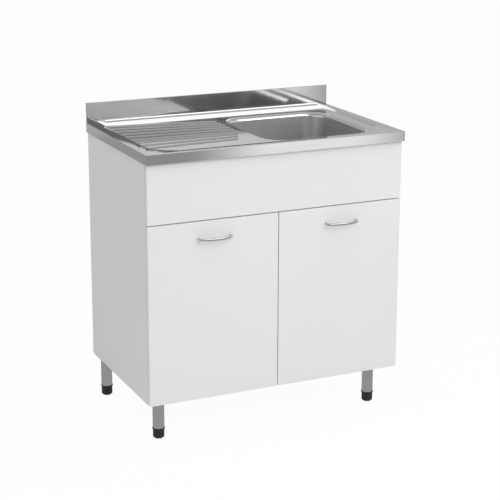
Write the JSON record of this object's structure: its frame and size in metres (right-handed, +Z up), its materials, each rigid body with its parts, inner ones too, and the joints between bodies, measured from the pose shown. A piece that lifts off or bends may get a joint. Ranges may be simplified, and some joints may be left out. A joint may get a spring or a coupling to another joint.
{
  "type": "kitchen sink unit",
  "caption": "Free-standing kitchen sink unit: pressed steel drainer top with one bowl and an upstand, white two-door cabinet with a fixed front, bowed handles, tube legs with black feet.",
  "frame": {"origin": "on the floor, below the middle of the unit's overall box", "axes": "+X to the right seen from the front, the doors face -Y, +Z up"},
  "size_m": [0.8, 0.517, 0.91],
  "materials": {
    "sink_steel": "satin stainless sheet",
    "white_board": "white melamine-faced chipboard",
    "dowel_wood": "plain beech",
    "handle_chrome": "polished",
    "leg_chrome": "polished",
    "foot_plastic": "fine grain, matte",
    "zinc_steel": "nickel-plated pressed steel",
    "seal_rubber": "matte",
    "bumper_plastic": "soft, clear-white",
    "waste_plastic": "white, moulded",
    "waste_steel": "polished"
  },
  "bodies": {
    "cabinet": {"bottom_panel": "white_board", "dowels": "dowel_wood", "fascia_brackets": "zinc_steel", "fascia_panel": "white_board", "fascia_screws": "zinc_steel", "front_left_leg_plate": "zinc_steel", "front_left_leg_tube": "leg_chrome", "front_middle_rail": "white_board", "front_right_leg_plate": "zinc_steel", "front_right_leg_tube": "leg_chrome", "front_top_rail": "white_board", "hinge_plate_screws": "zinc_steel", "left_hinge_arms": "zinc_steel", "left_hinge_plates": "zinc_steel", "left_side_panel": "white_board", "leg_plate_screws": "zinc_steel", "rear_left_leg_plate": "zinc_steel", "rear_left_leg_tube": "leg_chrome", "rear_lower_rail": "white_board", "rear_right_leg_plate": "zinc_steel", "rear_right_leg_tube": "leg_chrome", "rear_top_rail": "white_board", "right_hinge_arms": "zinc_steel", "right_hinge_plates": "zinc_steel", "right_side_panel": "white_board", "sink_bowl": "sink_steel", "sink_clip_screws": "zinc_steel", "sink_clips": "zinc_steel", "sink_top": "sink_steel", "waste_flange": "waste_steel", "waste_lower_seal": "seal_rubber", "waste_nut": "waste_plastic", "waste_upper_seal": "seal_rubber"},
    "left_door_leaf": {"left_door": "white_board", "left_handle": "handle_chrome", "left_handle_screws": "zinc_steel", "left_door_bumpers": "bumper_plastic", "left_hinge_cups": "zinc_steel", "left_hinge_cup_screws": "zinc_steel", "left_hinge_pins": "zinc_steel"},
    "right_door_leaf": {"right_door": "white_board", "right_handle": "handle_chrome", "right_handle_screws": "zinc_steel", "right_door_bumpers": "bumper_plastic", "right_hinge_cups": "zinc_steel", "right_hinge_cup_screws": "zinc_steel", "right_hinge_pins": "zinc_steel"},
    "front_left_leg_adjuster": {"front_left_leg_foot": "foot_plastic"},
    "front_right_leg_adjuster": {"front_right_leg_foot": "foot_plastic"},
    "rear_left_leg_adjuster": {"rear_left_leg_foot": "foot_plastic"},
    "rear_right_leg_adjuster": {"rear_right_leg_foot": "foot_plastic"},
    "plug": {"drain_plug": "seal_rubber"}
  },
  "joints": [
    {"name": "left_door_hinge", "type": "hinge", "parent": "cabinet", "child": "left_door_leaf", "pos_m": [-0.388, -0.2225, 0.3885], "axis": [0, 0, -1], "range_deg": [0, 95]},
    {"name": "right_door_hinge", "type": "hinge", "parent": "cabinet", "child": "right_door_leaf", "pos_m": [0.388, -0.2225, 0.3885], "axis": [0, 0, 1], "range_deg": [0, 95]},
    {"name": "drain_plug_lift", "type": "slide", "parent": "cabinet", "child": "plug", "axis": [0, 0, 1], "range_m": [0, 0.06]},
    {"name": "front_left_leg_adjust", "type": "slide", "parent": "cabinet", "child": "front_left_leg_adjuster", "axis": [0, 0, -1], "range_m": [0, 0.02]},
    {"name": "front_right_leg_adjust", "type": "slide", "parent": "cabinet", "child": "front_right_leg_adjuster", "axis": [0, 0, -1], "range_m": [0, 0.02]},
    {"name": "rear_left_leg_adjust", "type": "slide", "parent": "cabinet", "child": "rear_left_leg_adjuster", "axis": [0, 0, -1], "range_m": [0, 0.02]},
    {"name": "rear_right_leg_adjust", "type": "slide", "parent": "cabinet", "child": "rear_right_leg_adjuster", "axis": [0, 0, -1], "range_m": [0, 0.02]}
  ]
}
